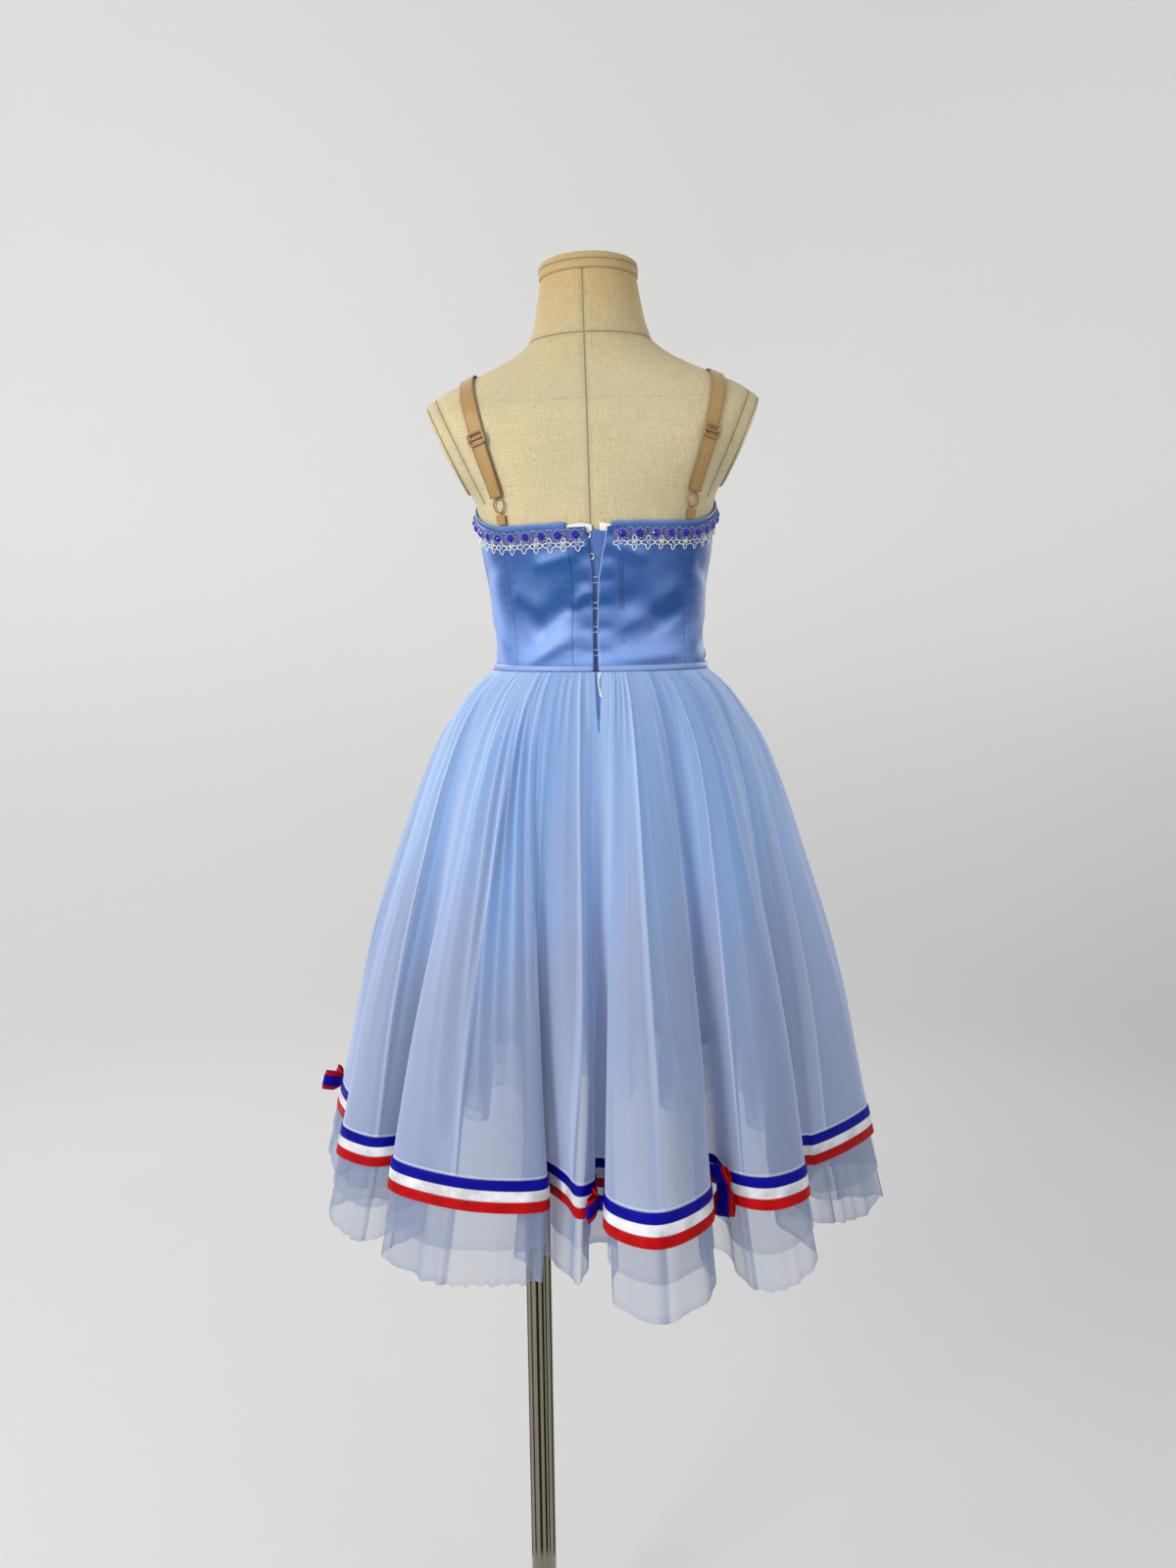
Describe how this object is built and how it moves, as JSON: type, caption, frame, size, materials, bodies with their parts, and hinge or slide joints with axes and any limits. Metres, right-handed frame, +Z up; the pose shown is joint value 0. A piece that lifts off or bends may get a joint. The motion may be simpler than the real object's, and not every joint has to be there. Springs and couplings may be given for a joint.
{
  "type": "ballet dress on a dress form",
  "caption": "Blue satin and tulle ballet dress with a hooked back, shoulder straps and a ribboned hem with bows, worn on a limbless linen dress form on a pole and round base.",
  "frame": {"origin": "the middle of the round base's underside, on the pole's axis", "axes": "+Z up along the pole, -Y towards the dress's front, +Y towards its hooked back, +X to the wearer's left"},
  "size_m": [0.5979, 0.5403, 1.577],
  "materials": {
    "linen": "fine plain-woven natural linen over padding",
    "chrome": "polished chrome",
    "steel": "bright wire and machined steel",
    "blue_satin": "light blue satin",
    "tulle": "sheer lavender-blue tulle",
    "ribbon_blue": "deep blue satin ribbon",
    "ribbon_white": "white satin ribbon",
    "ribbon_red": "red satin ribbon",
    "lace": "lavender lace",
    "cotton": "white cotton tape and edging",
    "strap": "tan satin elastic",
    "coated_wire": "tan nylon coating on wire"
  },
  "bodies": {
    "root": {"back_left": "blue_satin", "back_right": "blue_satin", "bow_back_inner_blue": "ribbon_blue", "bow_back_inner_red": "ribbon_red", "bow_back_outer_blue": "ribbon_blue", "bow_back_outer_red": "ribbon_red", "bow_front_blue": "ribbon_blue", "bow_front_red": "ribbon_red", "bow_left_blue": "ribbon_blue", "bow_left_red": "ribbon_red", "bow_right_blue": "ribbon_blue", "bow_right_red": "ribbon_red", "braid_lace": "lace", "braid_picot": "cotton", "eye_1": "steel", "eye_2": "steel", "eye_3": "steel", "eye_4": "steel", "eye_5": "steel", "eye_6": "steel", "form_arm_plate_left": "linen", "form_arm_plate_right": "linen", "form_neck_cap": "linen", "form_torso": "linen", "front": "blue_satin", "hem_ribbon_blue": "ribbon_blue", "hem_ribbon_red": "ribbon_red", "hem_ribbon_white": "ribbon_white", "hook_1": "steel", "hook_2": "steel", "hook_3": "steel", "hook_4": "steel", "hook_5": "steel", "hook_6": "steel", "overlay": "tulle", "petticoat_lower": "tulle", "petticoat_upper": "tulle", "placket_left": "blue_satin", "ring_left": "coated_wire", "ring_right": "coated_wire", "side_left": "blue_satin", "side_right": "blue_satin", "slider_left": "coated_wire", "slider_right": "coated_wire", "stand_base": "chrome", "stand_pole": "chrome", "stand_socket": "steel", "strap_left": "strap", "strap_loop_left": "strap", "strap_loop_right": "strap", "strap_right": "strap", "strap_tab_left": "strap", "strap_tab_right": "strap", "tape_left": "cotton", "tape_right": "cotton", "tape_waist": "cotton", "top_band": "blue_satin", "underlap": "blue_satin", "waist_piping": "blue_satin"}
  },
  "joints": []
}
